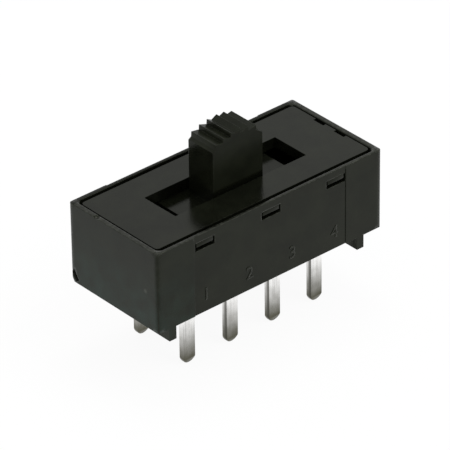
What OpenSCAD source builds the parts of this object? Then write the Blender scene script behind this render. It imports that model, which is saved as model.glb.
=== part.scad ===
// Slide switch with two poles and three positions, for a printed circuit board.
// X runs along the knob's travel, Y across it and Z up. The terminal tips stand on z = 0.

/* [Body] */
// Length of the moulded body
body_l = 19.85; // [17:0.05:25]
// Width of the moulded body
body_w = 8.95; // [8:0.05:12]
// Height of the body from its underside to its rim
body_h = 6.15; // [5.6:0.05:9]
// Radius of the upright outer corners
corner_r = 0.15; // [0.1:0.05:0.4]
// Thickness of the rim at the cover's ends
rim_end_t = 0.4; // [0.3:0.05:0.6]
// Thickness of the rim along the cover's sides
rim_side_t = 0.3; // [0.2:0.05:0.4]
// Thickness of the long walls below the cover
side_wall_t = 0.75; // [0.65:0.05:1.0]
// Thickness of the end walls below the cover
end_wall_t = 0.9; // [0.65:0.05:1.3]
// Thickness of the floor
floor_t = 1.3; // [1.1:0.05:1.8]
// Length of the sunk panel on each long side
panel_l = 13.45; // [13.4:0.05:15]
// Depth of that panel
panel_d = 0.05; // [0.04:0.01:0.15]
// Thickness of the rib that parts the two poles
barrier_t = 0.7; // [0.4:0.05:1.0]
// Gap between that rib and the slider's flange above it
barrier_gap = 0.55; // [0.3:0.05:1.2]

/* [Stand-off feet] */
// Height of the feet below the body
foot_h = 0.97; // [0.5:0.01:1.5]
// Length of a foot along the body
foot_l = 0.6; // [0.4:0.05:1.0]
// Width of a foot across the body
foot_w = 1.2; // [0.8:0.05:1.6]
// Distance of the left feet from the left end
foot_in_left = 0.94; // [0.3:0.01:1.6]
// Distance of the right feet from the right end
foot_in_right = 1.57; // [0.3:0.01:1.6]

/* [Cover] */
// Thickness of the cover plate
cover_t = 0.8; // [0.6:0.05:1.0]
// Depth of the cover's top below the rim
cover_drop = 0.05; // [0:0.01:0.15]
// Gap between the cover's ends and the rim
cover_end_gap = 0.1; // [0.05:0.01:0.2]
// Gap between the cover's sides and the rim
cover_side_gap = 0.3; // [0.05:0.01:0.35]
// Radius of the cover's corners
cover_r = 0.3; // [0.15:0.05:0.6]
// Width of the slot for the knob
slot_w = 3.15; // [2.8:0.05:3.6]
// Length of each notch in the cover's right end
notch_l = 1.0; // [0.6:0.05:1.6]
// Depth of those notches
notch_d = 0.24; // [0.1:0.02:0.4]
// Distance between the middles of the notches
notch_pitch = 2.05; // [1.8:0.05:4.0]

/* [Snap windows] */
// Length of each window along the wall
window_l = 1.7; // [1.2:0.05:2.4]
// Height of each window
window_h = 0.62; // [0.5:0.01:0.7]
// Distance of the window's top edge below the rim
window_top = 0.57; // [0.35:0.01:0.6]
// Distance from one window to the next
window_pitch = 5.8; // [4.5:0.1:5.8]
// Place of the middle window along the body, from the middle
window_x = 0.05; // [-0.1:0.01:0.1]
// Gap between a lug and the sides of its window
lug_gap = 0.13; // [0.05:0.01:0.2]
// Height of each lug on the cover's edge
lug_h = 0.44; // [0.3:0.01:0.45]
// Gap between a lug and the top of its window
lug_top_gap = 0.02; // [0.01:0.01:0.05]
// Depth of a lug's face behind the sunk panel
lug_shy = 0.03; // [0:0.01:0.1]
// Bevel on a lug's lower outer edge
lug_bevel = 0.12; // [0.05:0.01:0.2]

/* [Knob] */
// Length of the knob along its travel
knob_l = 4.36; // [4.1:0.02:5]
// Width of the knob across its travel
knob_w = 2.48; // [1.8:0.02:2.6]
// Place of the knob and its slot along the body, from the middle
knob_x = -0.05; // [-0.2:0.01:0.2]
// Height of the knob's crown above the rim
knob_h = 4.14; // [3:0.02:6]
// Radius of the arch over the tips of the teeth
arch_r = 4.45; // [3.5:0.05:8]
// Place of the valley between the two sets of teeth, from the knob's middle
valley_x = -0.16; // [-0.3:0.01:0.3]
// Number of teeth on each side of that valley
teeth = 3; // [2:1:3]
// Distance from one tooth to the next
tooth_pitch = 0.68; // [0.5:0.01:0.7]
// Distance of the first tip from that valley
tooth_start = 0.43; // [0.3:0.01:0.45]
// Height of a tooth's steep outer flank
tooth_h = 0.37; // [0.15:0.01:0.4]
// Lean of that flank
tooth_lean = 0.02; // [0:0.01:0.2]
// Depth of the valley below the arch's crest
valley_d = 0.25; // [0.1:0.01:0.3]
// Fall of the shoulders outside the teeth, per millimetre
shoulder_fall = 0.7; // [0.3:0.05:1]
// Travel of the knob to each side of the middle
travel = 3.45; // [3.2:0.05:3.6]

/* [Slider below the cover] */
// Length of the flange
flange_l = 9.4; // [8.4:0.1:9.6]
// Thickness of the flange
flange_t = 1.5; // [1.4:0.05:1.7]
// Thickness of a contact carrier's end walls
carrier_end = 0.45; // [0.35:0.05:0.6]
// Thickness of a contact carrier's long walls
carrier_side = 0.4; // [0.3:0.05:0.5]
// Height of the carriers' lower edge above the floor
carrier_lift = 0.3; // [0.1:0.05:0.4]
// Room above a contact bridge in its carrier
bridge_play = 0.25; // [0.1:0.05:0.4]
// Depth of a contact spring's seat in the flange
spring_seat = 0.05; // [0:0.05:0.15]

/* [Terminals] */
// Terminals in each row
terminals = 4; // [4:1:4]
// Distance from one terminal to the next
pin_pitch = 3.81; // [3.6:0.01:4]
// Distance between the two rows
row_pitch = 4.75; // [4.6:0.05:5]
// Width of a blade along the body
blade_w = 1.0; // [0.8:0.05:1.2]
// Thickness of a blade across the body
blade_t = 0.5; // [0.4:0.05:0.6]
// Reach of the blades below the body's underside
blade_reach = 5.05; // [3:0.05:6]
// Length of the taper at a blade's round tip
tip_l = 0.4; // [0.2:0.05:0.6]
// Width of the head that lies flush in the floor
head_w = 2.2; // [1.6:0.05:2.6]
// Height of that head
head_h = 0.6; // [0.4:0.05:0.7]

/* [Contacts] */
// Width of a contact bridge
bridge_w = 1.1; // [0.9:0.05:1.2]
// Length of a contact bridge beyond its rolled feet
bridge_end = 0.2; // [0.1:0.05:0.3]
// Thickness of its sheet metal
bridge_t = 0.22; // [0.15:0.01:0.25]
// Outer radius of its rolled feet
bridge_foot_r = 0.48; // [0.4:0.01:0.5]
// Outer diameter of a contact spring
contact_spring_d = 1.05; // [0.9:0.05:1.1]
// Wire diameter of a contact spring
contact_wire_d = 0.18; // [0.14:0.01:0.2]
// Turns of a contact spring
contact_turns = 5; // [4:1:6]

/* [Detent] */
// Diameter of the detent balls
ball_d = 0.8; // [0.7:0.02:0.9]
// Depth of the notches that the balls drop into
detent_d = 0.2; // [0.1:0.01:0.25]
// Outer diameter of the detent spring
detent_spring_d = 0.7; // [0.6:0.02:0.7]
// Wire diameter of the detent spring
detent_wire_d = 0.12; // [0.1:0.01:0.14]
// Turns of the detent spring
detent_turns = 12; // [8:1:14]

/* [Clearances] */
// Gap between the flange and the cover above it
top_gap = 0.05; // [0.03:0.01:0.1]
// Gap between the flange and each long wall
side_gap = 0.09; // [0.05:0.01:0.12]
// Gap between the knob and the slot's end at full travel
stop_gap = 0.15; // [0.03:0.01:0.2]
// Gap round a blade in the floor
blade_gap = 0.03; // [0.02:0.01:0.06]
// Gap under the carriers and the contact feet
glide_gap = 0.02; // [0.01:0.01:0.04]
// Gap round a contact bridge in its carrier
bridge_gap = 0.06; // [0.04:0.01:0.08]
// Gap round the balls and springs in their holes
bore_gap = 0.04; // [0.02:0.01:0.05]
// Gap between a ball and the crest between two notches
ball_gap = 0.02; // [0.01:0.01:0.05]

/* [Hidden] */
$fn = 32;
eps = 0.01;
front = -1;
back = 1;
lug_root = 0.1;
coil_steps = 16;
coil_sides = 8;

// Levels, from the terminal tips up
under_z = blade_reach;
seat_z = under_z - foot_h;
floor_z = under_z + floor_t;
rim_z = under_z + body_h;
cover_top_z = rim_z - cover_drop;
cover_z = cover_top_z - cover_t;
flange_top_z = cover_z - top_gap;
flange_z = flange_top_z - flange_t;
detent_z = flange_z + flange_t / 2;
window_z = rim_z - window_top - window_h;
lug_z = rim_z - window_top - lug_top_gap - lug_h;

// Inner sizes of the housing
cavity_l = body_l - 2 * end_wall_t;
cavity_w = body_w - 2 * side_wall_t;
cover_l = body_l - 2 * (rim_end_t + cover_end_gap);
cover_w = body_w - 2 * (rim_side_t + cover_side_gap);
slot_l = knob_l + 2 * (travel + stop_gap);
flange_w = cavity_w - 2 * side_gap;
barrier_h = flange_z - floor_z - barrier_gap;
row_y = row_pitch / 2;

// Contacts and springs inside the slider
bridge_l = pin_pitch + 2 * (bridge_foot_r + bridge_end);
pocket_l = bridge_l + 2 * bridge_gap;
pocket_w = bridge_w + 2 * bridge_gap;
carrier_l = pocket_l + 2 * carrier_end;
carrier_w = pocket_w + 2 * carrier_side;
carrier_z = floor_z + carrier_lift;
foot_z = floor_z + glide_gap + bridge_foot_r;
bridge_top_z = foot_z + bridge_t;
pocket_z = bridge_top_z + bridge_play;
spring_top_z = flange_z + spring_seat;
ball_y = cavity_w / 2 - ball_gap - ball_d / 2;
lug_depth = body_w / 2 - panel_d - lug_shy;

plastic = "#2b2d2b";
plastic_light = "#343734";
tin = "#c8c6bc";
bronze = "#c98f4e";
steel = "#a9adb0";

// A flat plate with rounded corners
module plate(l, w, h, r) {
    linear_extrude(h) {
        square([l - 2 * r, w], center = true);
        square([l, w - 2 * r], center = true);
        for (sx = [-1, 1], sy = [-1, 1])
            translate([sx * (l / 2 - r), sy * (w / 2 - r)]) circle(r);
    }
}

// A block centred along X and Y
module block(l, w, h) {
    translate([-l / 2, -w / 2, 0]) cube([l, w, h]);
}

// Places of the three snap windows on both long walls
module at_windows() {
    for (side = [front, back], i = [-1:1])
        translate([window_x + i * window_pitch, side * body_w / 2, 0])
            rotate([0, 0, side == front ? 0 : 180]) children();
}

// Place of terminal n, counted from the left
function pin_x(n) = (n - (terminals + 1) / 2) * pin_pitch;

// The housing and what is cut into it
module foot(inset, end, side) {
    translate([end * (body_l / 2 - inset - foot_l / 2), side * (body_w - foot_w) / 2, seat_z])
        block(foot_l, foot_w, foot_h + eps);
}

module side_panels() {
    for (side = [front, back])
        translate([0, side * body_w / 2, under_z - eps])
            block(panel_l, 2 * panel_d, body_h + 2 * eps);
}

module terminal_seats() {
    for (side = [front, back], n = [1:terminals])
        translate([pin_x(n), side * row_y, 0]) {
            translate([0, 0, under_z - eps])
                block(blade_w + 2 * blade_gap, blade_t + 2 * blade_gap, floor_t + 2 * eps);
            translate([0, 0, floor_z - head_h])
                block(head_w + 2 * blade_gap, blade_t + 2 * blade_gap, head_h + eps);
        }
}

module detent_notches() {
    for (side = [front, back], i = [-1:1])
        translate([i * travel, side * (ball_y + ball_gap + detent_d), detent_z - ball_d / 2 - bore_gap])
            cylinder(h = ball_d + 2 * bore_gap, d = ball_d);
}

module housing() {
    color(plastic) {
        difference() {
            union() {
                translate([0, 0, under_z]) plate(body_l, body_w, body_h, corner_r);
                for (side = [front, back]) {
                    foot(foot_in_left, -1, side);
                    foot(foot_in_right, 1, side);
                }
            }
            side_panels();
            translate([0, 0, cover_z])
                plate(body_l - 2 * rim_end_t, body_w - 2 * rim_side_t, body_h, cover_r + cover_end_gap);
            translate([0, 0, floor_z]) block(cavity_l, cavity_w, body_h);
            at_windows()
                translate([-window_l / 2, -eps, window_z])
                    cube([window_l, side_wall_t + 2 * eps, window_h]);
            detent_notches();
            terminal_seats();
        }
        translate([0, 0, floor_z - eps]) block(cavity_l + 2 * eps, barrier_t, barrier_h + eps);
    }
}

// A snap lug, drawn at a window on the front wall
module lug() {
    reach = lug_depth - cover_w / 2 + lug_root;
    l = window_l - 2 * lug_gap;
    translate([-l / 2, body_w / 2 - lug_depth, lug_z]) rotate([90, 0, 90]) linear_extrude(l)
        polygon([[lug_bevel, 0], [reach, 0], [reach, lug_h], [0, lug_h], [0, lug_bevel]]);
}

module top_cover() {
    color(plastic_light) difference() {
        union() {
            translate([0, 0, cover_z]) plate(cover_l, cover_w, cover_t, cover_r);
            at_windows() lug();
        }
        translate([knob_x, 0, cover_z - lug_h]) block(slot_l, slot_w, cover_t + 2 * lug_h);
        for (side = [-1, 1])
            translate([cover_l / 2, side * notch_pitch / 2, cover_z - lug_h])
                block(2 * notch_d, notch_l, cover_t + 2 * lug_h);
    }
}

// Outline of the knob: an arch of teeth between two shoulders
function arch(x) = knob_h - arch_r + sqrt(arch_r * arch_r - x * x);
function tip_x(side, i) = valley_x + side * (tooth_start + i * tooth_pitch);
function half_teeth(side) = [
    for (i = [0:teeth - 1])
        let (x = tip_x(side, i))
            for (p = [[x, arch(x)], [x + side * tooth_lean, arch(x) - tooth_h]]) p
];
function foot_of(side) = half_teeth(side)[2 * teeth - 1];
function shoulder(side) = let (p = foot_of(side))
    [side * knob_l / 2, p[1] - shoulder_fall * (knob_l / 2 - side * p[0])];
function backwards(list) = [for (i = [len(list) - 1:-1:0]) list[i]];
function knob_outline(base) = concat(
    [[-knob_l / 2, base], shoulder(-1)],
    backwards(half_teeth(-1)),
    [[valley_x, knob_h - valley_d]],
    half_teeth(1),
    [shoulder(1), [knob_l / 2, base]]
);

module knob() {
    translate([knob_x, knob_w / 2, rim_z]) rotate([90, 0, 0]) linear_extrude(knob_w)
        polygon(knob_outline(flange_top_z - rim_z - eps));
}

// A carrier hangs under the flange and holds one bridge and its spring
module carrier(side) {
    translate([0, side * row_y, carrier_z])
        block(carrier_l, carrier_w, flange_z - carrier_z + eps);
}

module carrier_hollow(side) {
    translate([0, side * row_y, 0]) {
        translate([0, 0, carrier_z - eps])
            block(pocket_l, pocket_w, pocket_z - carrier_z + eps);
        translate([0, 0, pocket_z - eps])
            cylinder(h = spring_top_z - pocket_z + eps, d = contact_spring_d + 2 * bore_gap);
    }
}

module slider() {
    color(plastic) difference() {
        union() {
            translate([0, 0, flange_z]) block(flange_l, flange_w, flange_t);
            knob();
            carrier(front);
            carrier(back);
        }
        carrier_hollow(front);
        carrier_hollow(back);
        translate([0, flange_w, detent_z]) rotate([90, 0, 0])
            cylinder(h = 2 * flange_w, d = ball_d + 2 * bore_gap);
    }
}

// A terminal: a stamped blade with a wide head and a round, tapered tip
module blade_front() {
    translate([0, blade_w / 2]) circle(d = blade_w);
    translate([-blade_w / 2, blade_w / 2]) square([blade_w, floor_z - blade_w / 2]);
    translate([-head_w / 2, floor_z - head_h]) square([head_w, head_h]);
}

module blade_side() {
    polygon([
        [-blade_t / 4, 0], [blade_t / 4, 0], [blade_t / 2, tip_l],
        [blade_t / 2, floor_z], [-blade_t / 2, floor_z], [-blade_t / 2, tip_l]
    ]);
}

module terminal(side, n) {
    color(tin) translate([pin_x(n), side * row_y, 0]) intersection() {
        translate([0, blade_t / 2, 0]) rotate([90, 0, 0]) linear_extrude(blade_t) blade_front();
        translate([-head_w / 2, 0, 0]) rotate([90, 0, 90]) linear_extrude(head_w) blade_side();
    }
}

// A contact bridge: a strip with two rolled feet, one terminal pitch apart
module bridge_foot() {
    difference() {
        translate([0, bridge_w / 2, 0]) rotate([90, 0, 0]) cylinder(h = bridge_w, r = bridge_foot_r);
        translate([0, bridge_w, 0]) rotate([90, 0, 0]) cylinder(h = 2 * bridge_w, r = bridge_foot_r - bridge_t);
        block(3 * bridge_foot_r, 2 * bridge_w, 2 * bridge_foot_r);
    }
}

module contact(side) {
    color(bronze) translate([0, side * row_y, foot_z]) {
        difference() {
            block(bridge_l, bridge_w, bridge_t);
            for (end = [-1, 1])
                translate([end * pin_pitch / 2, 0, -eps])
                    block(2 * (bridge_foot_r - bridge_t), 2 * bridge_w, bridge_t + 2 * eps);
        }
        for (end = [-1, 1])
            translate([end * pin_pitch / 2, 0, 0]) bridge_foot();
    }
}

// A coil spring along Z from 0 to its length, with closed end turns
function coil_z(t, turns, length, wire) =
    let (open = (length - 3 * wire) / (turns - 2))
    wire / 2 + (t < 1 ? wire * t : t > turns - 1 ? length - wire - wire * (turns - t) : wire + open * (t - 1));
function coil_ring(t, turns, length, wire, r) =
    let (z = coil_z(t, turns, length, wire), a = 360 * t)
    [for (k = [0:coil_sides - 1])
        let (b = 360 * k / coil_sides, q = r + wire / 2 * cos(b))
        [q * cos(a), q * sin(a), z + wire / 2 * sin(b)]];

module coil(turns, length, diameter, wire) {
    sides = coil_sides;
    rings = turns * coil_steps;
    points = [
        for (i = [0:rings])
            for (p = coil_ring(i / coil_steps, turns, length, wire, (diameter - wire) / 2)) p
    ];
    wall = [
        for (i = [0:rings - 1], k = [0:sides - 1])
            let (next = (k + 1) % sides, a = i * sides, b = a + sides)
            for (f = [[a + k, b + k, b + next], [a + k, b + next, a + next]]) f
    ];
    start = [[for (k = [0:sides - 1]) k]];
    end = [[for (k = [0:sides - 1]) rings * sides + sides - 1 - k]];
    polyhedron(points, concat(wall, start, end), convexity = 10);
}

module contact_spring(side) {
    color(steel) translate([0, side * row_y, bridge_top_z])
        coil(contact_turns, spring_top_z - bridge_top_z, contact_spring_d, contact_wire_d);
}

module detent_spring() {
    length = 2 * ball_y - ball_d;
    color(steel) translate([0, length / 2, detent_z]) rotate([90, 0, 0])
        coil(detent_turns, length, detent_spring_d, detent_wire_d);
}

module detent_ball(side) {
    color(steel) translate([0, side * ball_y, detent_z]) sphere(d = ball_d);
}

housing();
top_cover();
slider();
terminal(front, 1);  // terminal_front_1
terminal(front, 2);  // terminal_front_2
terminal(front, 3);  // terminal_front_3
terminal(front, 4);  // terminal_front_4
terminal(back, 1);  // terminal_back_1
terminal(back, 2);  // terminal_back_2
terminal(back, 3);  // terminal_back_3
terminal(back, 4);  // terminal_back_4
contact(front);  // contact_front
contact(back);  // contact_back
contact_spring(front);  // contact_spring_front
contact_spring(back);  // contact_spring_back
detent_ball(front);  // detent_ball_front
detent_ball(back);  // detent_ball_back
detent_spring();
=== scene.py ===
"""Looks of a moulded slide switch, built round its fixed frame of solid parts."""

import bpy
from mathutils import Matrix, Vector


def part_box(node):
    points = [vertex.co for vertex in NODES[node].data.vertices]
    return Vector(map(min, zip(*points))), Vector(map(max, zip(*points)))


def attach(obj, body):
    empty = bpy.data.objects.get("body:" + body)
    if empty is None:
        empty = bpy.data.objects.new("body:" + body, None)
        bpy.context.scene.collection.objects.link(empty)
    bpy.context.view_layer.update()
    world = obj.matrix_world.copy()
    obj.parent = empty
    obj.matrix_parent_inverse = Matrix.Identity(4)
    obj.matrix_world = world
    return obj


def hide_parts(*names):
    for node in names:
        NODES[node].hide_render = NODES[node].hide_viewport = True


bl_info = {
    "name": "Slide Switch Looks",
    "version": (1, 0, 0),
    "blender": (4, 5, 0),
    "location": "View3D > Sidebar > Slide Switch",
    "description": "Gives a moulded slide switch its softened edges, finishes and studio stage",
    "category": "Object",
}

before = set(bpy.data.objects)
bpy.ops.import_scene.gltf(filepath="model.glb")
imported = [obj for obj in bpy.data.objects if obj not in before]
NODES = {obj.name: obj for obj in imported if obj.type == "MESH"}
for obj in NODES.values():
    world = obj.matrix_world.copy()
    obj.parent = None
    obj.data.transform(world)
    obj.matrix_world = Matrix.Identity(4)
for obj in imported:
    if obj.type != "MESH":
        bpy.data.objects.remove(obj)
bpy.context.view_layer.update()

import math
from collections import namedtuple

import bpy
from bpy.props import FloatProperty, FloatVectorProperty, PointerProperty
from mathutils import Matrix, Vector

# The frame's nodes, and the corners of the pieces that the looks are fitted to, in metres
TERMINALS = sorted(name for name in NODES if name.startswith("terminal"))
FRONT_TERMINALS = [name for name in TERMINALS if name.startswith("terminal_front")]
BODY_LOW, BODY_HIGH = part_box("housing")
COVER_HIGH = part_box("top_cover")[1]
KNOB_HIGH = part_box("slider")[1]

# One millimetre in metres. A piece is worked on in millimetres until it is settled.
MM = 0.001
BODY_UNDERSIDE_MM = 5.05
PANEL_DEPTH_MM = 0.05

# Mesh work: points that count as one, places that count as level, and the angles that count as flat,
# as an edge to round and as an edge that stays sharp
MERGE_MM = 0.0005
NEAR_MM = 0.001
FLAT_DEG = 0.5
EDGE_DEG = 28
SMOOTH_DEG = 40

# Housing: the band inside its outline that holds the rim's outer edges and that the inner edges keep off,
# the wider one that they keep off at the ends, and how far in from the left end the nick's middle lies
RIM_BAND_MM = 0.25
RIM_END_BAND_MM = 0.35
NICK_INSET_MM = 0.12
# Split corner: where the split and the chip below it lie from the back and the underside, the chip's size,
# and how each is turned, in radians
SPLIT_INSET_MM = 0.4
SPLIT_RISE_MM = 0.56
SPLIT_TURN = (-0.61, 0, 0)
CHIP_OUTSET_MM = 0.3
CHIP_SIZE_MM = 1
CHIP_TURN = (0.99, 0, 0)

# Cover and knob: margin round the slot, height of the ribbed arch, and where its last rib ends along X
SLOT_MARGIN_MM = 1
ARCH_HEIGHT_MM = 1.6
LAST_RIB_MM = 0.6
# Height of a figure over the size of its font
FIGURE_SHARE = 0.7

# Zones of the finishes, in metres: the depth of a face's own pattern, and the width over which a zone fades
SKIN = 0.00002
FADE = 0.0001
# Places on the housing: the underside, the upright corners, the rim and its back strip, the sunk panels'
# ends with the zone round them, and the level below which the painted sheen grows stronger
UNDERSIDE = BODY_UNDERSIDE_MM * MM
CORNER_WIDTH = 0.0005
RIM_HEIGHT = 0.0002
BACK_RIM_WIDTH = 0.0004
PANEL_END_X = 0.006725
PANEL_EDGE = 0.0002
SHEEN_TOP = BODY_HIGH.z - 0.0015
# Where the far shoulder of the knob's arch begins
SHOULDER_X = 0.00162
# Pale speck on the left end face: its Y and Z, and its radius
SPECK_PLACE = (-0.003225, 0.00785)
SPECK_RADIUS = 0.0002
# How far the softness of an edge reaches: moulded edges, handled edges, near-sharp edges and sharp edges
EDGE_REACH = 0.0001
KNOB_REACH = 0.00005
FINE_REACH = 0.00003
CRISP_REACH = 0.00002
# Darker towards the tips, partly thin plating over cut base metal and partly a painted dark reflection of
# the shaded floor under the body: the heights at which the bright tin starts and is full, how ragged they
# are, and how it falls off between them
TIP_DULLING_HEIGHTS = (0.0004, 0.0033)
TIP_DULLING_RAGGED = 0.00015
TIP_DULLING_FALL = 1.25
# Painted shade on the blades' flanks: from where past the first blade they turn dark, and from how far out
# on each blade
FLANK_START_X = (-0.0061, -0.0050)
FLANK_OUTWARD_Y = (0.00225, 0.00245)


def length_property(name, description, default):
    """A size in metres, shown in the scene's length unit."""
    return FloatProperty(name=name, description=description, default=default, unit="LENGTH", precision=6)


def angle_property(name, description, degrees):
    """An angle, given in degrees."""
    return FloatProperty(name=name, description=description, default=math.radians(degrees), subtype="ANGLE")


def number_property(name, description, default):
    """A plain number with no unit that Blender shows."""
    return FloatProperty(name=name, description=description, default=default)


def share_property(name, description, default):
    """A plain number from nought to one."""
    return FloatProperty(name=name, description=description, default=default, min=0, max=1)


def colour_property(name, description, default):
    """A linear colour with a swatch."""
    return FloatVectorProperty(
        name=name, description=description, default=default, subtype="COLOR", size=3, min=0, max=1)


class SwitchSizes(bpy.types.PropertyGroup):
    """Sizes of the small forms that moulding, stamping and handling leave."""

    outer_break: length_property("Outer edge", "Rounding of the rim's outer edges", 0.000045)
    lead_in: length_property("Lead-in", "Rounding of the rim's inner edges", 0.00009)
    inner_break: length_property("Inner edge", "Rounding of the housing's other edges", 0.00003)
    cover_break: length_property("Cover edge", "Rounding of the cover's edges", 0.00004)
    slot_break: length_property("Slot edge", "Rounding of the slot's left edge", 0.00005)
    knob_break: length_property("Knob edge", "Rounding of the knob's edges and ribs", 0.00003)
    rib_end: length_property("Rib end", "Rounding of the ribs' ends on the knob's front and back", 0.00006)
    blade_break: length_property("Blade edge", "Rounding of the terminals' edges", 0.00005)
    numeral_height: length_property("Numeral height", "Height of the terminal numbers", 0.00095)
    numeral_rise: length_property("Numeral rise", "How far the numbers stand off the panel", 0.00004)
    numeral_level: length_property("Numeral level", "Height of the numbers above the underside", 0.0009)
    nick_radius: length_property("Nick radius", "Radius of the scooped nick in the rim's left end", 0.0004)
    nick_depth: length_property("Nick depth", "Depth of that nick", 0.00012)
    nick_place: length_property("Nick place", "From the middle to the nick, towards the back", 0.0018)
    split_width: length_property("Split width", "Width of the split, low in the left back corner", 0.00038)
    split_length: length_property("Split length", "Length of that split", 0.00086)
    split_depth: length_property("Split depth", "How far the split runs into the corner", 0.0008)


class SwitchFinishes(bpy.types.PropertyGroup):
    """Colours and surface values of the plastics and metals."""

    plastic: colour_property("Plastic", "Black moulded plastic", (0.0042, 0.0048, 0.0028))
    # Painted highlight: the lighter colour laid along the plastic's edges and in patches on the rim.
    rubbed: colour_property("Highlighted plastic", "The plastic where edges are rubbed", (0.070, 0.073, 0.062))
    gloss: colour_property("Gloss", "Tint of the light that the moulded faces mirror", (0.93, 1.0, 0.80))
    plastic_roughness: share_property("Plastic roughness", "Roughness of the moulded faces", 0.14)
    knob_roughness: share_property("Knob roughness", "Roughness of the knob's handled faces", 0.32)
    grain_size: length_property("Grain size", "Spacing of the moulded grain", 0.00009)
    grain_depth: length_property("Grain depth", "Depth of the moulded grain", 0.000004)
    corner_reach: length_property("Corner reach", "How far the upright corners' softness reaches", 0.00045)
    body_gloss: share_property("Body gloss", "Strength of the housing's mirroring", 0.175)
    cover_gloss: share_property("Cover gloss", "Strength of the cover's mirroring", 0.15)
    knob_gloss: share_property("Knob gloss", "Strength of the knob's mirroring", 0.12)
    # Painted sheen: a lighter, cooler colour low on the left end, standing in for the light that face
    # mirrors.
    film: colour_property("Sheen", "Faint film low on the left end and beside it", (0.010, 0.021, 0.017))
    tin: colour_property("Tin", "Bright tin plating", (0.98, 0.975, 0.96))
    # Towards the tips this colour is partly the cut base metal and partly a painted dark reflection of the
    # shaded floor under the body; darkened on the blades' flanks, it is painted shade.
    tin_dull: colour_property("Sheared tip", "Tip where the plating is thin", (0.10, 0.097, 0.072))
    bronze: colour_property("Bronze", "Contact strip", (0.60, 0.36, 0.15))
    steel: colour_property("Steel", "Springs and balls", (0.50, 0.50, 0.51))


class SwitchStage(bpy.types.PropertyGroup):
    """Camera, lamps and floor."""

    azimuth: angle_property("Azimuth", "Where the camera stands round the switch", -40.72)
    elevation: angle_property("Elevation", "How high the camera stands", 32.13)
    roll: angle_property("Roll", "Tilt of the camera about its own axis", -0.80)
    distance: length_property("Distance", "From the middle of the body to the camera", 0.30534)
    slide_right: length_property("Slide right", "How far the camera stands left of that line", 0.000134)
    slide_up: length_property("Slide up", "How far the camera stands below that line", 0.000719)
    lens: number_property("Lens", "Focal length in millimetres on a 36 mm sensor", 363.9)
    key_energy: number_property("Key", "Power of the soft lamp behind the switch, in watts", 0.6)
    fill_energy: number_property("Fill", "Power of the soft lamp at the front right, in watts", 1.0)
    sky: share_property("Sky", "Strength of the light from all round", 0.75)
    floor_tone: share_property("Floor tone", "Lightness of the floor", 0.95)
    floor_lift: share_property("Floor lift", "Share of the floor's shadow that the camera misses", 0.93)
    mirror_lift: share_property("Mirror lift", "Share of the floor's shadow that glossy faces miss", 0.93)


def nothing_selected():
    """Leaves no object selected."""
    if bpy.context.mode != "OBJECT":
        bpy.ops.object.mode_set(mode="OBJECT")
    for other in bpy.context.selected_objects:
        other.select_set(False)


def only(obj):
    """Leaves one object selected and active."""
    nothing_selected()
    obj.select_set(True)
    bpy.context.view_layer.objects.active = obj


def apply_place():
    """Applies the selected object's place, turn and scale to its mesh."""
    bpy.ops.object.transform_apply(location=True, rotation=True, scale=True)


def resize(obj, factor):
    """Scales an object's mesh about the origin."""
    only(obj)
    obj.scale = (factor, factor, factor)
    apply_place()


def copy_of(node, name):
    """A closed copy of a frame node's mesh, in millimetres."""
    obj = bpy.data.objects.new(name, NODES[node].data.copy())
    obj.data.materials.clear()
    bpy.context.scene.collection.objects.link(obj)
    resize(obj, 1 / MM)
    bpy.ops.mesh.customdata_custom_splitnormals_clear()
    bpy.ops.object.mode_set(mode="EDIT")
    bpy.ops.mesh.select_all(action="SELECT")
    bpy.ops.mesh.remove_doubles(threshold=MERGE_MM)
    bpy.ops.mesh.dissolve_limited(angle_limit=math.radians(FLAT_DEG))
    bpy.ops.object.mode_set(mode="OBJECT")
    return obj


def apply_modifier(obj, kind, name, **settings):
    """Adds a modifier, sets it and applies it."""
    only(obj)
    modifier = obj.modifiers.new(name, kind)
    for key, value in settings.items():
        setattr(modifier, key, value)
    bpy.ops.object.modifier_apply(modifier=modifier.name)


def break_edges(obj, width_mm):
    """Rounds every edge that turns by more than the edge angle."""
    apply_modifier(
        obj, "BEVEL", "edge_break", width=width_mm, segments=2, limit_method="ANGLE",
        angle_limit=math.radians(EDGE_DEG), use_clamp_overlap=True, miter_outer="MITER_ARC",
    )


def break_chosen_edges(obj, chosen, width_mm):
    """Rounds the edges whose two ends pass a test."""
    only(obj)
    mesh = obj.data
    for items in (mesh.vertices, mesh.edges, mesh.polygons):
        for item in items:
            item.select = False
    for edge in mesh.edges:
        a, b = (mesh.vertices[i].co for i in edge.vertices)
        if chosen(a, b):
            edge.select = True
    bpy.context.tool_settings.mesh_select_mode = (False, True, False)
    bpy.ops.object.mode_set(mode="EDIT")
    bpy.ops.mesh.bevel(offset=width_mm, segments=3, affect="EDGES", clamp_overlap=True)
    bpy.ops.object.mode_set(mode="OBJECT")


def settle(obj, body, slot, material, *nodes):
    """Brings a modelled piece back to metres, smooths it and ties it to the frame."""
    resize(obj, MM)
    bpy.ops.object.shade_smooth_by_angle(angle=math.radians(SMOOTH_DEG))
    apply_modifier(obj, "WEIGHTED_NORMAL", "flat_faces", keep_sharp=True)
    obj.data.materials.clear()
    obj.data.materials.append(material)
    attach(obj, body)
    if nodes:
        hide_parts(*nodes)


def cut(obj, cutter):
    """Takes a cutter's shape out of a piece and removes the cutter."""
    apply_modifier(obj, "BOOLEAN", "cut", operation="DIFFERENCE", solver="EXACT", object=cutter)
    bpy.data.objects.remove(cutter)


def cutter_box(centre, size, turn):
    """A block at its place, size and turn in millimetres, for a cut."""
    nothing_selected()
    bpy.ops.mesh.primitive_cube_add(size=1, location=centre, rotation=turn)
    box = bpy.context.object
    box.scale = size
    apply_place()
    return box


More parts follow.
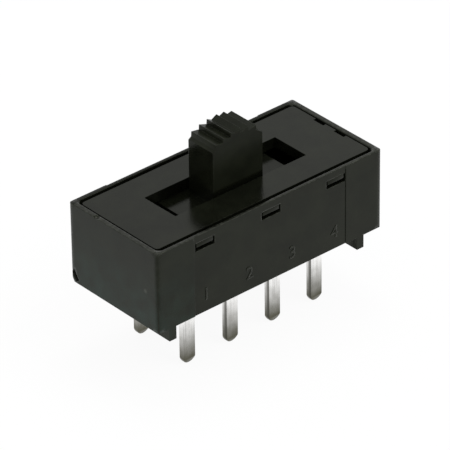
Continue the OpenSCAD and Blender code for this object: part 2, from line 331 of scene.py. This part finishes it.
def cutter_ball(centre, radius):
    """A ball at its place and size in millimetres, for a scooped cut."""
    nothing_selected()
    bpy.ops.mesh.primitive_uv_sphere_add(segments=32, ring_count=16, radius=radius, location=centre)
    apply_place()
    return bpy.context.object


def link(tree, start, end):
    """Joins two sockets."""
    tree.links.new(start, end)


def feed(tree, value, socket):
    """Gives an input its value, which is another socket or a number."""
    if isinstance(value, (int, float)):
        socket.default_value = value
    else:
        link(tree, value, socket)


def math_node(tree, operation, *values):
    """A math node whose inputs are sockets or numbers."""
    node = tree.nodes.new("ShaderNodeMath")
    node.operation = operation
    for socket, value in zip(node.inputs, values):
        feed(tree, value, socket)
    return node.outputs[0]


def all_of(tree, mask, *others):
    """A mask that is high only where all the masks are."""
    for other in others:
        mask = math_node(tree, "MULTIPLY", mask, other)
    return mask


def any_of(tree, mask, *others):
    """A mask that is high where one of the masks is."""
    for other in others:
        mask = math_node(tree, "MAXIMUM", mask, other)
    return mask


def map_range(tree, value, span, onto=(0, 1)):
    """Maps a value from one span onto another, clamped."""
    node = tree.nodes.new("ShaderNodeMapRange")
    link(tree, value, node.inputs["Value"])
    for label, number in zip(("From Min", "From Max", "To Min", "To Max"), (*span, *onto)):
        node.inputs[label].default_value = number
    return node.outputs["Result"]


def span_mask(tree, value, span):
    """A mask that rises over a span of the value's size, without its sign."""
    return map_range(tree, math_node(tree, "ABSOLUTE", value), span)


def noise(tree, vector, scale, detail=2.0, roughness=0.5):
    """A noise texture's value, with the scale a socket or a number."""
    node = tree.nodes.new("ShaderNodeTexNoise")
    link(tree, vector, node.inputs["Vector"])
    feed(tree, scale, node.inputs["Scale"])
    node.inputs["Detail"].default_value = detail
    node.inputs["Roughness"].default_value = roughness
    return node.outputs["Fac"]


def object_coordinates(tree):
    """The piece's own coordinates, in metres."""
    return tree.nodes.new("ShaderNodeTexCoord").outputs["Object"]


def face_normal(tree):
    """The way that a face points."""
    return tree.nodes.new("ShaderNodeNewGeometry").outputs["Normal"]


def axes_of(tree, vector):
    """A vector's X, Y and Z, by name."""
    node = tree.nodes.new("ShaderNodeSeparateXYZ")
    link(tree, vector, node.inputs["Vector"])
    return node.outputs


def stretched(tree, vector, scale):
    """A vector scaled by axis, for streaks."""
    node = tree.nodes.new("ShaderNodeMapping")
    link(tree, vector, node.inputs["Vector"])
    node.inputs["Scale"].default_value = scale
    return node.outputs["Vector"]


def speck_mask(tree, place, point, radius):
    """A mask that is 0.6 round a point and fades out towards a radius, in metres."""
    node = tree.nodes.new("ShaderNodeVectorMath")
    node.operation = "DISTANCE"
    link(tree, place, node.inputs[0])
    node.inputs[1].default_value = point
    return map_range(tree, node.outputs["Value"], (radius, radius * 0.4), onto=(0, 0.6))


def mix_values(tree, share, first, second):
    """A value between two others, by a share."""
    node = tree.nodes.new("ShaderNodeMix")
    node.data_type = "FLOAT"
    for value, label in ((share, "Factor"), (first, "A"), (second, "B")):
        feed(tree, value, node.inputs[label])
    return node.outputs["Result"]


def mix_colours(tree, share, first, second):
    """Mixes two colours, each a socket or a value."""
    node = tree.nodes.new("ShaderNodeMix")
    node.data_type = "RGBA"
    link(tree, share, node.inputs["Factor"])
    for label, value in (("A", first), ("B", second)):
        socket = next(s for s in node.inputs if s.name == label and s.type == "RGBA")
        if isinstance(value, bpy.types.NodeSocket):
            link(tree, value, socket)
        else:
            socket.default_value = (*value, 1)
    return next(s for s in node.outputs if s.type == "RGBA")


def shade(colour, share):
    """A colour made darker or lighter."""
    return tuple(channel * share for channel in colour)


def new_group(name, inputs, outputs):
    """An empty shader group with float inputs, and outputs that are floats or normals."""
    group = bpy.data.node_groups.new(name, "ShaderNodeTree")
    for label, value in inputs:
        socket = group.interface.new_socket(label, in_out="INPUT", socket_type="NodeSocketFloat")
        socket.default_value = value
    for label in outputs:
        kind = "NodeSocketVector" if label.endswith("Normal") else "NodeSocketFloat"
        group.interface.new_socket(label, in_out="OUTPUT", socket_type=kind)
    return group, group.nodes.new("NodeGroupInput"), group.nodes.new("NodeGroupOutput")


def moulded_grain_group():
    """Fine grain and broad unevenness of a moulded face."""
    group, enter, leave = new_group(
        "moulded_grain", [("Grain Scale", 9000), ("Mottle Scale", 500)], ["Grain", "Mottle"])
    place = object_coordinates(group)
    grain = noise(group, place, enter.outputs["Grain Scale"], detail=3, roughness=0.6)
    mottle = noise(group, place, enter.outputs["Mottle Scale"], detail=5, roughness=0.65)
    link(group, grain, leave.inputs["Grain"])
    link(group, mottle, leave.inputs["Mottle"])
    return group


def rubbed_edges_group():
    """Softened normals round the edges, and a mask for a painted highlight that is high there, broken up in
    patches.
    """
    group, enter, leave = new_group(
        "edge_highlight", [("Reach", EDGE_REACH), ("Break-up Scale", 2500)], ["Rub", "Edge", "Soft Normal"])
    rounded = group.nodes.new("ShaderNodeBevel")
    rounded.samples = 6
    link(group, enter.outputs["Reach"], rounded.inputs["Radius"])
    dot = group.nodes.new("ShaderNodeVectorMath")
    dot.operation = "DOT_PRODUCT"
    link(group, rounded.outputs["Normal"], dot.inputs[0])
    link(group, face_normal(group), dot.inputs[1])
    edge = map_range(group, dot.outputs["Value"], (0.995, 0.85))
    patches = noise(group, object_coordinates(group), enter.outputs["Break-up Scale"], detail=3)
    broken = map_range(group, patches, (0.42, 0.62), onto=(0.25, 1))
    link(group, all_of(group, edge, broken), leave.inputs["Rub"])
    link(group, edge, leave.inputs["Edge"])
    link(group, rounded.outputs["Normal"], leave.inputs["Soft Normal"])
    return group


def shared_groups():
    """The shader groups, made once."""
    makers = {"moulded_grain": moulded_grain_group, "edge_highlight": rubbed_edges_group}
    return {name: bpy.data.node_groups.get(name) or make() for name, make in makers.items()}


def group_node(tree, group, **values):
    """Places a shader group with its own values."""
    node = tree.nodes.new("ShaderNodeGroup")
    node.node_tree = group
    for label, value in values.items():
        node.inputs[label.replace("_", " ")].default_value = value
    return node


def new_material(name):
    """An empty node material, its tree and its Principled shader."""
    material = bpy.data.materials.new(name)
    material.use_nodes = True
    tree = material.node_tree
    return material, tree, tree.nodes["Principled BSDF"]


def shared(name, make):
    """A material that is made once and then found by name."""
    return bpy.data.materials.get(name) or make()


def bump(tree, height, distance, shader, normal=None):
    """Feeds a height to the shader's normal, on top of another normal if there is one."""
    node = tree.nodes.new("ShaderNodeBump")
    node.inputs["Strength"].default_value = 1.0
    node.inputs["Distance"].default_value = distance
    link(tree, height, node.inputs["Height"])
    if normal:
        link(tree, normal, node.inputs["Normal"])
    link(tree, node.outputs["Normal"], shader.inputs["Normal"])


# A moulded plastic: its material, the material's tree and shader, its colour with the painted edge
# highlight, and its edge group
Moulded = namedtuple("Moulded", "material tree shader worn rubbed")


def moulded_plastic(name, finishes, groups, gloss, rub=0.9, lift=1.0):
    """Black moulded plastic with fine grain, and a painted highlight along its softened edges."""
    material, tree, shader = new_material(name)
    grain = group_node(tree, groups["moulded_grain"], Grain_Scale=1 / finishes.grain_size)
    rubbed = group_node(tree, groups["edge_highlight"])

    mottle = map_range(tree, grain.outputs["Mottle"], (0.35, 0.65))
    darker, lighter = (shade(finishes.plastic, lift * share) for share in (0.6, 1.5))
    uneven = mix_colours(tree, mottle, darker, lighter)
    # Painted highlight: the edges are mixed towards the lighter edge colour.
    highlight_share = math_node(tree, "MULTIPLY", rubbed.outputs["Rub"], rub)
    worn = mix_colours(tree, highlight_share, uneven, tuple(finishes.rubbed))
    link(tree, worn, shader.inputs["Base Color"])

    speckle = noise(tree, object_coordinates(tree), scale=4200)
    smooth, spread = finishes.plastic_roughness, 0.04
    rough = map_range(tree, speckle, (0.3, 0.7), onto=(smooth - spread, smooth + spread))
    link(tree, rough, shader.inputs["Roughness"])
    shader.inputs["Specular IOR Level"].default_value = gloss
    shader.inputs["Specular Tint"].default_value = (*finishes.gloss, 1)
    bump(tree, grain.outputs["Grain"], finishes.grain_depth, shader, normal=rubbed.outputs["Soft Normal"])
    return Moulded(material, tree, shader, worn, rubbed)


def knob_plastic(finishes, groups):
    """The slider's plastic, glossy below the rim and duller where fingers push, most on the far shoulder."""
    plastic = moulded_plastic("satin_black_knob", finishes, groups, finishes.knob_gloss, rub=0.4, lift=1.5)
    tree, shader = plastic.tree, plastic.shader
    along = axes_of(tree, object_coordinates(tree))
    facing = axes_of(tree, face_normal(tree))
    above_rim = map_range(tree, along["Z"], (BODY_HIGH.z, BODY_HIGH.z + 2 * FADE))
    reach = map_range(tree, above_rim, (0, 1), onto=(CRISP_REACH, KNOB_REACH))
    link(tree, reach, plastic.rubbed.inputs["Reach"])
    # Painted shade: below the rim the knob keeps the plain plastic, darker than the lifted plastic above it
    # and with no painted edge highlight.
    colour = mix_colours(tree, above_rim, tuple(finishes.plastic), plastic.worn)
    link(tree, colour, shader.inputs["Base Color"])

    smooth, dull = finishes.plastic_roughness, finishes.knob_roughness
    handled = map_range(tree, above_rim, (0, 1), onto=(smooth, dull))
    off_left_face = map_range(tree, facing["X"], (-0.97, -0.9), onto=(smooth, 1))
    handled = math_node(tree, "MINIMUM", handled, off_left_face)
    shoulder = map_range(tree, along["X"], (SHOULDER_X - FADE / 2, SHOULDER_X + FADE / 2), onto=(0, 0.9))
    sloping = map_range(tree, facing["Z"], (0.3, 0.5))
    pushed = all_of(tree, shoulder, sloping, above_rim)
    link(tree, math_node(tree, "MAXIMUM", handled, pushed), shader.inputs["Roughness"])
    return plastic.material


def cover_plastic(finishes, groups):
    """The cover's plastic, with crisp edges."""
    plastic = moulded_plastic("satin_black_cover", finishes, groups, finishes.cover_gloss, rub=0.3)
    plastic.rubbed.inputs["Reach"].default_value = CRISP_REACH
    return plastic.material


# The housing's masks: its upright corners, the rim's top, that top at the back, the walls below the rim,
# the line above the underside, and the ends of the sunk panels
BodyMasks = namedtuple("BodyMasks", "corner rim back_rim walls foot panel_end")


def body_masks(tree, along):
    """Makes the housing's masks from the place on it."""
    end, side, top = BODY_HIGH.x - CORNER_WIDTH, BODY_HIGH.y - CORNER_WIDTH, BODY_HIGH.z
    at_end = span_mask(tree, along["X"], (end - FADE, end))
    at_side = span_mask(tree, along["Y"], (side - FADE, side))
    rim = map_range(tree, along["Z"], (top - 2 * SKIN, top - SKIN / 2))
    # The rim's back strip, which gets painted shade.
    back = BODY_HIGH.y - BACK_RIM_WIDTH
    at_back = map_range(tree, along["Y"], (back - FADE, back))
    walls = map_range(tree, along["Z"], (top - RIM_HEIGHT, top - RIM_HEIGHT - FADE))
    foot = map_range(tree, along["Z"], (UNDERSIDE + FADE + SKIN, UNDERSIDE + FADE - SKIN))
    past_panel = math_node(tree, "SUBTRACT", math_node(tree, "ABSOLUTE", along["X"]), PANEL_END_X)
    panel_end = span_mask(tree, past_panel, (1.25 * PANEL_EDGE, PANEL_EDGE))
    corner, back_rim = all_of(tree, at_end, at_side), all_of(tree, at_back, rim)
    return BodyMasks(corner, rim, back_rim, walls, foot, panel_end)


def soften_body_edges(tree, masks, rubbed, finishes):
    """Softens the upright corners widely, and the panels' ends and the edges above the underside finely."""
    reach = map_range(tree, masks.corner, (0, 1), onto=(EDGE_REACH, finishes.corner_reach))
    off_corner = map_range(tree, masks.corner, (0, 1), onto=(1, 0))
    at_panel = all_of(tree, masks.panel_end, masks.walls)
    at_foot = all_of(tree, masks.foot, off_corner)
    fine = any_of(tree, at_panel, at_foot)
    link(tree, mix_values(tree, fine, reach, FINE_REACH), rubbed.inputs["Reach"])


def body_wear(tree, place, masks, plastic, finishes):
    """The colour of the housing, with a painted highlight in patches on the rim, a pale speck, and painted
    shade at the edges of the upright corners, the panels' ends and the line above the underside, and on the
    rim's back strip.
    """
    # Painted highlight in patches on the rim's top, together with a pale speck on the left end.
    rim_highlight_noise = noise(tree, place, scale=3200, detail=4, roughness=0.7)
    patches = map_range(tree, rim_highlight_noise, (0.42, 0.66), onto=(0, 0.3))
    speck = speck_mask(tree, place, (BODY_LOW.x, *SPECK_PLACE), SPECK_RADIUS)
    pale = any_of(tree, all_of(tree, masks.rim, patches), speck)
    paler = mix_colours(tree, pale, plastic.worn, tuple(finishes.rubbed))

    # Painted shade: the edges of the upright corners, the panels' ends and the line above the underside, and
    # the rim's back strip, are darkened.
    painted_shade_places = all_of(tree, any_of(tree, masks.corner, masks.panel_end, masks.foot), masks.walls)
    painted_edge_shade = all_of(tree, plastic.rubbed.outputs["Edge"], painted_shade_places)
    unlit = any_of(tree, painted_edge_shade, masks.back_rim)
    return mix_colours(tree, unlit, paler, shade(finishes.plastic, 0.4))


def film_mask(tree, place, along):
    """How much painted sheen, a lighter and cooler tint standing in for mirrored light, lies low on the left
    end face and on the front's strip beside it.
    """
    # Painted sheen: lighter and cooler low on the left end and on the front beside it.
    on_end = map_range(tree, along["X"], (BODY_LOW.x + SKIN, BODY_LOW.x + SKIN / 2))
    on_front = map_range(tree, along["Y"], (BODY_LOW.y + SKIN, BODY_LOW.y + SKIN / 2), onto=(0, 0.6))
    beside_panel = map_range(tree, along["X"], (-PANEL_END_X, -PANEL_END_X - FADE))
    with_sheen = any_of(tree, on_end, all_of(tree, on_front, beside_panel))
    lowness = map_range(tree, along["Z"], (SHEEN_TOP, UNDERSIDE), onto=(0.1, 1))
    sheen_breakup = map_range(tree, noise(tree, place, scale=900, detail=3), (0.35, 0.65), onto=(0.2, 1))
    return all_of(tree, with_sheen, lowness, sheen_breakup)


def body_plastic(finishes, groups):
    """The housing's plastic, with rounder upright corners, a painted highlight on the rim, painted shade at
    some edges and a faint painted sheen at the left end.
    """
    plastic = moulded_plastic("satin_black_body", finishes, groups, finishes.body_gloss)
    tree = plastic.tree
    place = object_coordinates(tree)
    along = axes_of(tree, place)
    masks = body_masks(tree, along)
    soften_body_edges(tree, masks, plastic.rubbed, finishes)
    worn = body_wear(tree, place, masks, plastic, finishes)
    with_sheen = mix_colours(tree, film_mask(tree, place, along), worn, tuple(finishes.film))
    link(tree, with_sheen, plastic.shader.inputs["Base Color"])
    return plastic.material


def tinned_metal(finishes):
    """Tin plating with drawn streaks, darker down to the tips, partly cut base metal and partly a painted
    dark reflection, and painted shade on the flanks' outward parts.
    """
    material, tree, shader = new_material("bright_tin")
    place = object_coordinates(tree)
    along = axes_of(tree, place)
    facing = axes_of(tree, face_normal(tree))
    streaks = noise(tree, stretched(tree, place, (1, 1, 0.04)), scale=6500, detail=4, roughness=0.65)
    cloud = noise(tree, place, scale=1600, detail=3)

    # Bright tin fades towards the tips: partly thin plating, partly a painted dark reflection of the floor
    # under the body.
    shift = map_range(tree, cloud, (0.3, 0.7), onto=(-TIP_DULLING_RAGGED, TIP_DULLING_RAGGED))
    height = map_range(tree, math_node(tree, "ADD", along["Z"], shift), TIP_DULLING_HEIGHTS)
    tip_falloff = math_node(tree, "POWER", height, TIP_DULLING_FALL)
    plating_and_reflection = all_of(tree, tip_falloff, map_range(tree, cloud, (0.35, 0.6), onto=(0.94, 1)))
    streaked = map_range(tree, streaks, (0.36, 0.52))
    bright = mix_colours(tree, streaked, shade(finishes.tin, 0.74), tuple(finishes.tin))
    faces = mix_colours(tree, plating_and_reflection, tuple(finishes.tin_dull), bright)

    # Painted shade on the outward parts of the blades' flanks past the first blade.
    flank = span_mask(tree, facing["X"], (0.6, 0.9))
    past_first = map_range(tree, along["X"], FLANK_START_X, onto=(0, 0.8))
    outward = span_mask(tree, along["Y"], FLANK_OUTWARD_Y)
    painted_flank_shade = all_of(tree, flank, past_first, outward)
    colour = mix_colours(tree, painted_flank_shade, faces, shade(finishes.tin_dull, 0.45))
    link(tree, colour, shader.inputs["Base Color"])
    shader.inputs["Metallic"].default_value = 1.0
    link(tree, map_range(tree, streaks, (0.3, 0.7), onto=(0.2, 0.36)), shader.inputs["Roughness"])
    bump(tree, streaks, 0.000002, shader)
    return material


def plain_metal(name, colour, roughness, streak):
    """Bare metal with drawn or polished streaks."""
    material, tree, shader = new_material(name)
    marks = noise(tree, stretched(tree, object_coordinates(tree), streak), scale=6000, detail=3)
    uneven = mix_colours(tree, map_range(tree, marks, (0.35, 0.65)), shade(colour, 0.75), tuple(colour))
    link(tree, uneven, shader.inputs["Base Color"])
    shader.inputs["Metallic"].default_value = 1.0
    rough = map_range(tree, marks, (0.3, 0.7), onto=(roughness * 0.8, roughness * 1.25))
    link(tree, rough, shader.inputs["Roughness"])
    bump(tree, marks, 0.000001, shader)
    return material


def housing_plastic(scene):
    """The housing's plastic, which the raised numbers share."""
    return shared("satin_black_body", lambda: body_plastic(scene.switch_finishes, shared_groups()))


class SWITCH_OT_housing(bpy.types.Operator):
    """Makes the moulded housing with rounded edges, a nick in the rim and a split lower corner"""

    bl_idname = "switch.housing"
    bl_label = "Housing"

    def execute(self, context):
        sizes = context.scene.switch_sizes
        housing = copy_of("housing", "housing_shell")
        half_l, half_w = BODY_HIGH.x / MM, BODY_HIGH.y / MM
        rim = BODY_HIGH.z / MM

        def on_rim(a, b):
            return abs(a.z - rim) < NEAR_MM and abs(b.z - rim) < NEAR_MM

        def outer_edge(a, b):
            at_end = min(abs(a.x), abs(b.x)) > half_l - RIM_BAND_MM
            at_side = min(abs(a.y), abs(b.y)) > half_w - RIM_BAND_MM
            return on_rim(a, b) and (at_end or at_side)

        def inner_edge(a, b):
            off_ends = max(abs(a.x), abs(b.x)) < half_l - RIM_END_BAND_MM
            off_sides = max(abs(a.y), abs(b.y)) < half_w - RIM_BAND_MM
            return on_rim(a, b) and off_ends and off_sides

        break_chosen_edges(housing, outer_edge, sizes.outer_break / MM)
        break_chosen_edges(housing, inner_edge, sizes.lead_in / MM)
        break_edges(housing, sizes.inner_break / MM)

        nick_y, nick_r, nick_d = (v / MM for v in (sizes.nick_place, sizes.nick_radius, sizes.nick_depth))
        cut(housing, cutter_ball((-half_l + NICK_INSET_MM, nick_y, rim + nick_r - nick_d), nick_r))
        depth = 2 * sizes.split_depth / MM
        split = (depth, sizes.split_width / MM, sizes.split_length / MM)
        split_middle = (-half_l, half_w - SPLIT_INSET_MM, BODY_UNDERSIDE_MM + SPLIT_RISE_MM)
        cut(housing, cutter_box(split_middle, split, SPLIT_TURN))
        chip = (depth, CHIP_SIZE_MM, CHIP_SIZE_MM)
        chip_middle = (-half_l, half_w + CHIP_OUTSET_MM, BODY_UNDERSIDE_MM)
        cut(housing, cutter_box(chip_middle, chip, CHIP_TURN))
        settle(housing, "base", "housing_plastic", housing_plastic(context.scene), "housing")
        return {"FINISHED"}


class SWITCH_OT_cover(bpy.types.Operator):
    """Makes the snap-in cover with softened edges"""

    bl_idname = "switch.cover"
    bl_label = "Cover"

    def execute(self, context):
        scene = context.scene
        cover = copy_of("top_cover", "cover_plate")
        top, inside = COVER_HIGH.z / MM, COVER_HIGH.y / MM - SLOT_MARGIN_MM

        def slot_end(a, b):
            on_top = min(a.z, b.z) > top - NEAR_MM
            across = abs(a.x - b.x) < NEAR_MM
            return on_top and across and max(abs(a.y), abs(b.y)) < inside and a.x < 0

        break_chosen_edges(cover, slot_end, scene.switch_sizes.slot_break / MM)
        break_edges(cover, scene.switch_sizes.cover_break / MM)
        finishes = scene.switch_finishes
        material = shared("satin_black_cover", lambda: cover_plastic(finishes, shared_groups()))
        settle(cover, "base", "cover_plastic", material, "top_cover")
        return {"FINISHED"}


class SWITCH_OT_knob(bpy.types.Operator):
    """Makes the ribbed knob and its flange with softened ribs and edges"""

    bl_idname = "switch.knob"
    bl_label = "Knob"

    def execute(self, context):
        scene = context.scene
        knob = copy_of("slider", "knob_and_flange")
        arch_foot = KNOB_HIGH.z / MM - ARCH_HEIGHT_MM
        half_w = max(v.co.y for v in knob.data.vertices if v.co.z > BODY_HIGH.z / MM)

        def rib_end(a, b):
            on_face = min(a.y, b.y) > half_w - NEAR_MM or max(a.y, b.y) < NEAR_MM - half_w
            return on_face and min(a.z, b.z) > arch_foot and max(a.x, b.x) < LAST_RIB_MM

        break_chosen_edges(knob, rib_end, scene.switch_sizes.rib_end / MM)
        break_edges(knob, scene.switch_sizes.knob_break / MM)
        finishes = scene.switch_finishes
        material = shared("satin_black_knob", lambda: knob_plastic(finishes, shared_groups()))
        settle(knob, "slider", "knob_plastic", material, "slider")
        return {"FINISHED"}


class SWITCH_OT_terminals(bpy.types.Operator):
    """Makes the eight tinned blades with softened edges, darker tips and painted shade on their flanks"""

    bl_idname = "switch.terminals"
    bl_label = "Terminals"

    def execute(self, context):
        scene = context.scene
        material = shared("bright_tin", lambda: tinned_metal(scene.switch_finishes))
        for node in TERMINALS:
            blade = copy_of(node, node.replace("terminal", "blade"))
            break_edges(blade, scene.switch_sizes.blade_break / MM)
            settle(blade, "base", "tinned_terminal", material, node)
        return {"FINISHED"}


class SWITCH_OT_numerals(bpy.types.Operator):
    """Raises plain terminal numbers on the front panel"""

    bl_idname = "switch.numerals"
    bl_label = "Numerals"

    def execute(self, context):
        sizes = context.scene.switch_sizes
        panel_y = BODY_LOW.y / MM + PANEL_DEPTH_MM
        level = BODY_UNDERSIDE_MM + sizes.numeral_level / MM
        for count, node in enumerate(FRONT_TERMINALS, 1):
            low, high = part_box(node)
            place = ((low.x + high.x) / 2 / MM, panel_y, level)
            nothing_selected()
            bpy.ops.object.text_add(location=place, rotation=(math.pi / 2, 0, 0))
            numeral = bpy.context.object
            numeral.name = f"numeral_{count}"
            numeral.data.body = str(count)
            numeral.data.align_x = "CENTER"
            numeral.data.size = sizes.numeral_height / MM / FIGURE_SHARE
            numeral.data.extrude = sizes.numeral_rise / MM
            numeral.data.resolution_u = 4
            only(numeral)
            bpy.ops.object.convert(target="MESH")
            apply_place()
            settle(bpy.context.object, "base", "housing_plastic", housing_plastic(context.scene))
        return {"FINISHED"}


class SWITCH_OT_inner_parts(bpy.types.Operator):
    """Gives the hidden contacts, springs and balls their finishes"""

    bl_idname = "switch.inner_parts"
    bl_label = "Inner Parts"

    def execute(self, context):
        finishes = context.scene.switch_finishes
        bronze = plain_metal("rolled_bronze", finishes.bronze, roughness=0.3, streak=(0.05, 1, 1))
        wire = plain_metal("drawn_wire", finishes.steel, roughness=0.32, streak=(1, 1, 1))
        polished = plain_metal("polished_ball", finishes.steel, roughness=0.12, streak=(1, 1, 1))
        wanted = {
            "contact_front": bronze, "contact_back": bronze,
            "contact_spring_front": wire, "contact_spring_back": wire, "detent_spring": wire,
            "detent_ball_front": polished, "detent_ball_back": polished,
        }
        for node, material in wanted.items():
            for slot in NODES[node].material_slots:
                slot.material = material
        return {"FINISHED"}


def make_floor(stage):
    """A wide pale floor whose shadow the camera and glossy faces see only faintly."""
    nothing_selected()
    bpy.ops.mesh.primitive_plane_add(size=1.2, location=(0, 0, 0))
    floor = bpy.context.object
    floor.name = "floor"
    material, tree, shader = new_material("floor_paper")
    tone = (stage.floor_tone,) * 3
    mottle = noise(tree, object_coordinates(tree), scale=60)
    paper = mix_colours(tree, map_range(tree, mottle, (0.3, 0.7)), shade(tone, 0.98), tone)
    link(tree, paper, shader.inputs["Base Color"])
    shader.inputs["Roughness"].default_value = 0.9
    shader.inputs["Specular IOR Level"].default_value = 0.1

    glow = tree.nodes.new("ShaderNodeEmission")
    glow.inputs["Strength"].default_value = 1.0
    path = tree.nodes.new("ShaderNodeLightPath")
    seen = math_node(tree, "MULTIPLY", path.outputs["Is Camera Ray"], stage.floor_lift)
    mirrored = math_node(tree, "MULTIPLY", path.outputs["Is Glossy Ray"], stage.mirror_lift)
    mix = tree.nodes.new("ShaderNodeMixShader")
    link(tree, math_node(tree, "ADD", seen, mirrored), mix.inputs["Fac"])
    link(tree, shader.outputs["BSDF"], mix.inputs[1])
    link(tree, glow.outputs["Emission"], mix.inputs[2])
    link(tree, mix.outputs["Shader"], tree.nodes["Material Output"].inputs["Surface"])
    floor.data.materials.append(material)


def white_light(tree, strength):
    """A white background shader's output."""
    node = tree.nodes.new("ShaderNodeBackground")
    node.inputs["Color"].default_value = (1, 1, 1, 1)
    node.inputs["Strength"].default_value = strength
    return node.outputs["Background"]


def make_surround(scene, stage):
    """A surround that is seen and mirrored as white, and lights the switch somewhat less."""
    world = bpy.data.worlds.new("studio")
    scene.world = world
    world.use_nodes = True
    tree = world.node_tree
    tree.nodes.clear()
    path = tree.nodes.new("ShaderNodeLightPath")
    rays = ("Is Camera Ray", "Is Transmission Ray", "Is Glossy Ray")
    mix = tree.nodes.new("ShaderNodeMixShader")
    out = tree.nodes.new("ShaderNodeOutputWorld")
    link(tree, any_of(tree, *(path.outputs[ray] for ray in rays)), mix.inputs["Fac"])
    link(tree, white_light(tree, stage.sky), mix.inputs[1])
    link(tree, white_light(tree, 1.0), mix.inputs[2])
    link(tree, mix.outputs["Shader"], out.inputs["Surface"])


def direction(azimuth, elevation):
    """The way from the switch to something that stands at an azimuth and elevation."""
    flat = math.cos(elevation)
    return Vector((math.sin(azimuth) * flat, -math.cos(azimuth) * flat, math.sin(elevation)))


def make_lamp(name, towards, distance, size, energy):
    """A soft square lamp that stands in a direction from the switch and faces it."""
    place = towards * distance
    nothing_selected()
    bpy.ops.object.light_add(type="AREA", location=place)
    lamp = bpy.context.object
    lamp.name = name
    lamp.data.shape = "SQUARE"
    lamp.data.size = size
    lamp.data.energy = energy
    aim = Vector((0, 0, BODY_LOW.z)) - place
    lamp.rotation_euler = aim.to_track_quat("-Z", "Y").to_euler()


def make_lamps(stage):
    """A key from high behind the switch and a fill from the front at the right."""
    behind = direction(stage.azimuth + math.pi, math.radians(74))
    front_right = direction(math.radians(28), math.radians(48))
    make_lamp("key", behind, distance=0.5, size=0.22, energy=stage.key_energy)
    make_lamp("fill", front_right, distance=0.6, size=0.3, energy=stage.fill_energy)


def make_camera(scene, stage):
    """The camera at the photograph's viewing angle."""
    back = direction(stage.azimuth, stage.elevation)
    right = Vector((0, 0, 1)).cross(back).normalized()
    up = back.cross(right)
    cos_roll, sin_roll = math.cos(stage.roll), math.sin(stage.roll)
    right, up = cos_roll * right + sin_roll * up, cos_roll * up - sin_roll * right
    middle = Vector((0, 0, (UNDERSIDE + BODY_HIGH.z) / 2))
    eye = middle + back * stage.distance - right * stage.slide_right - up * stage.slide_up
    data = bpy.data.cameras.new("camera")
    data.lens = stage.lens
    data.sensor_width = 36
    data.clip_start = 0.01
    data.clip_end = 10
    camera = bpy.data.objects.new("camera", data)
    scene.collection.objects.link(camera)
    turn = Matrix((right, up, back)).transposed().to_4x4()
    camera.matrix_world = Matrix.Translation(eye) @ turn
    scene.camera = camera


class SWITCH_OT_stage(bpy.types.Operator):
    """Sets the pale floor, the surround, the soft lamps and the camera"""

    bl_idname = "switch.stage"
    bl_label = "Stage"

    def execute(self, context):
        scene = context.scene
        stage = scene.switch_stage
        make_floor(stage)
        make_surround(scene, stage)
        make_lamps(stage)
        make_camera(scene, stage)
        scene.view_settings.view_transform = "Standard"
        return {"FINISHED"}


class SWITCH_PT_panel(bpy.types.Panel):
    """Lists the pieces of the slide switch"""

    bl_idname = "SWITCH_PT_panel"
    bl_label = "Slide Switch"
    bl_space_type = "VIEW_3D"
    bl_region_type = "UI"
    bl_category = "Slide Switch"

    def draw(self, context):
        for operator in PIECES:
            self.layout.operator(operator.bl_idname)
        for name, cls in GROUPS.items():
            box = self.layout.box()
            for key in cls.__annotations__:
                box.prop(getattr(context.scene, name), key)


PIECES = (
    SWITCH_OT_housing, SWITCH_OT_cover, SWITCH_OT_knob, SWITCH_OT_terminals,
    SWITCH_OT_numerals, SWITCH_OT_inner_parts, SWITCH_OT_stage,
)
GROUPS = {"switch_sizes": SwitchSizes, "switch_finishes": SwitchFinishes, "switch_stage": SwitchStage}
CLASSES = (*GROUPS.values(), *PIECES, SWITCH_PT_panel)


def register():
    """Registers the classes and puts the values on the scene."""
    for cls in CLASSES:
        bpy.utils.register_class(cls)
    for name, cls in GROUPS.items():
        setattr(bpy.types.Scene, name, PointerProperty(type=cls))


def unregister():
    """Takes the values and the classes away again."""
    for name in GROUPS:
        delattr(bpy.types.Scene, name)
    for cls in reversed(CLASSES):
        bpy.utils.unregister_class(cls)


def main():
    """Builds every piece in order."""
    register()
    bpy.ops.switch.housing()
    bpy.ops.switch.cover()
    bpy.ops.switch.knob()
    bpy.ops.switch.terminals()
    bpy.ops.switch.numerals()
    bpy.ops.switch.inner_parts()
    bpy.ops.switch.stage()


if __name__ == "__main__":
    main()
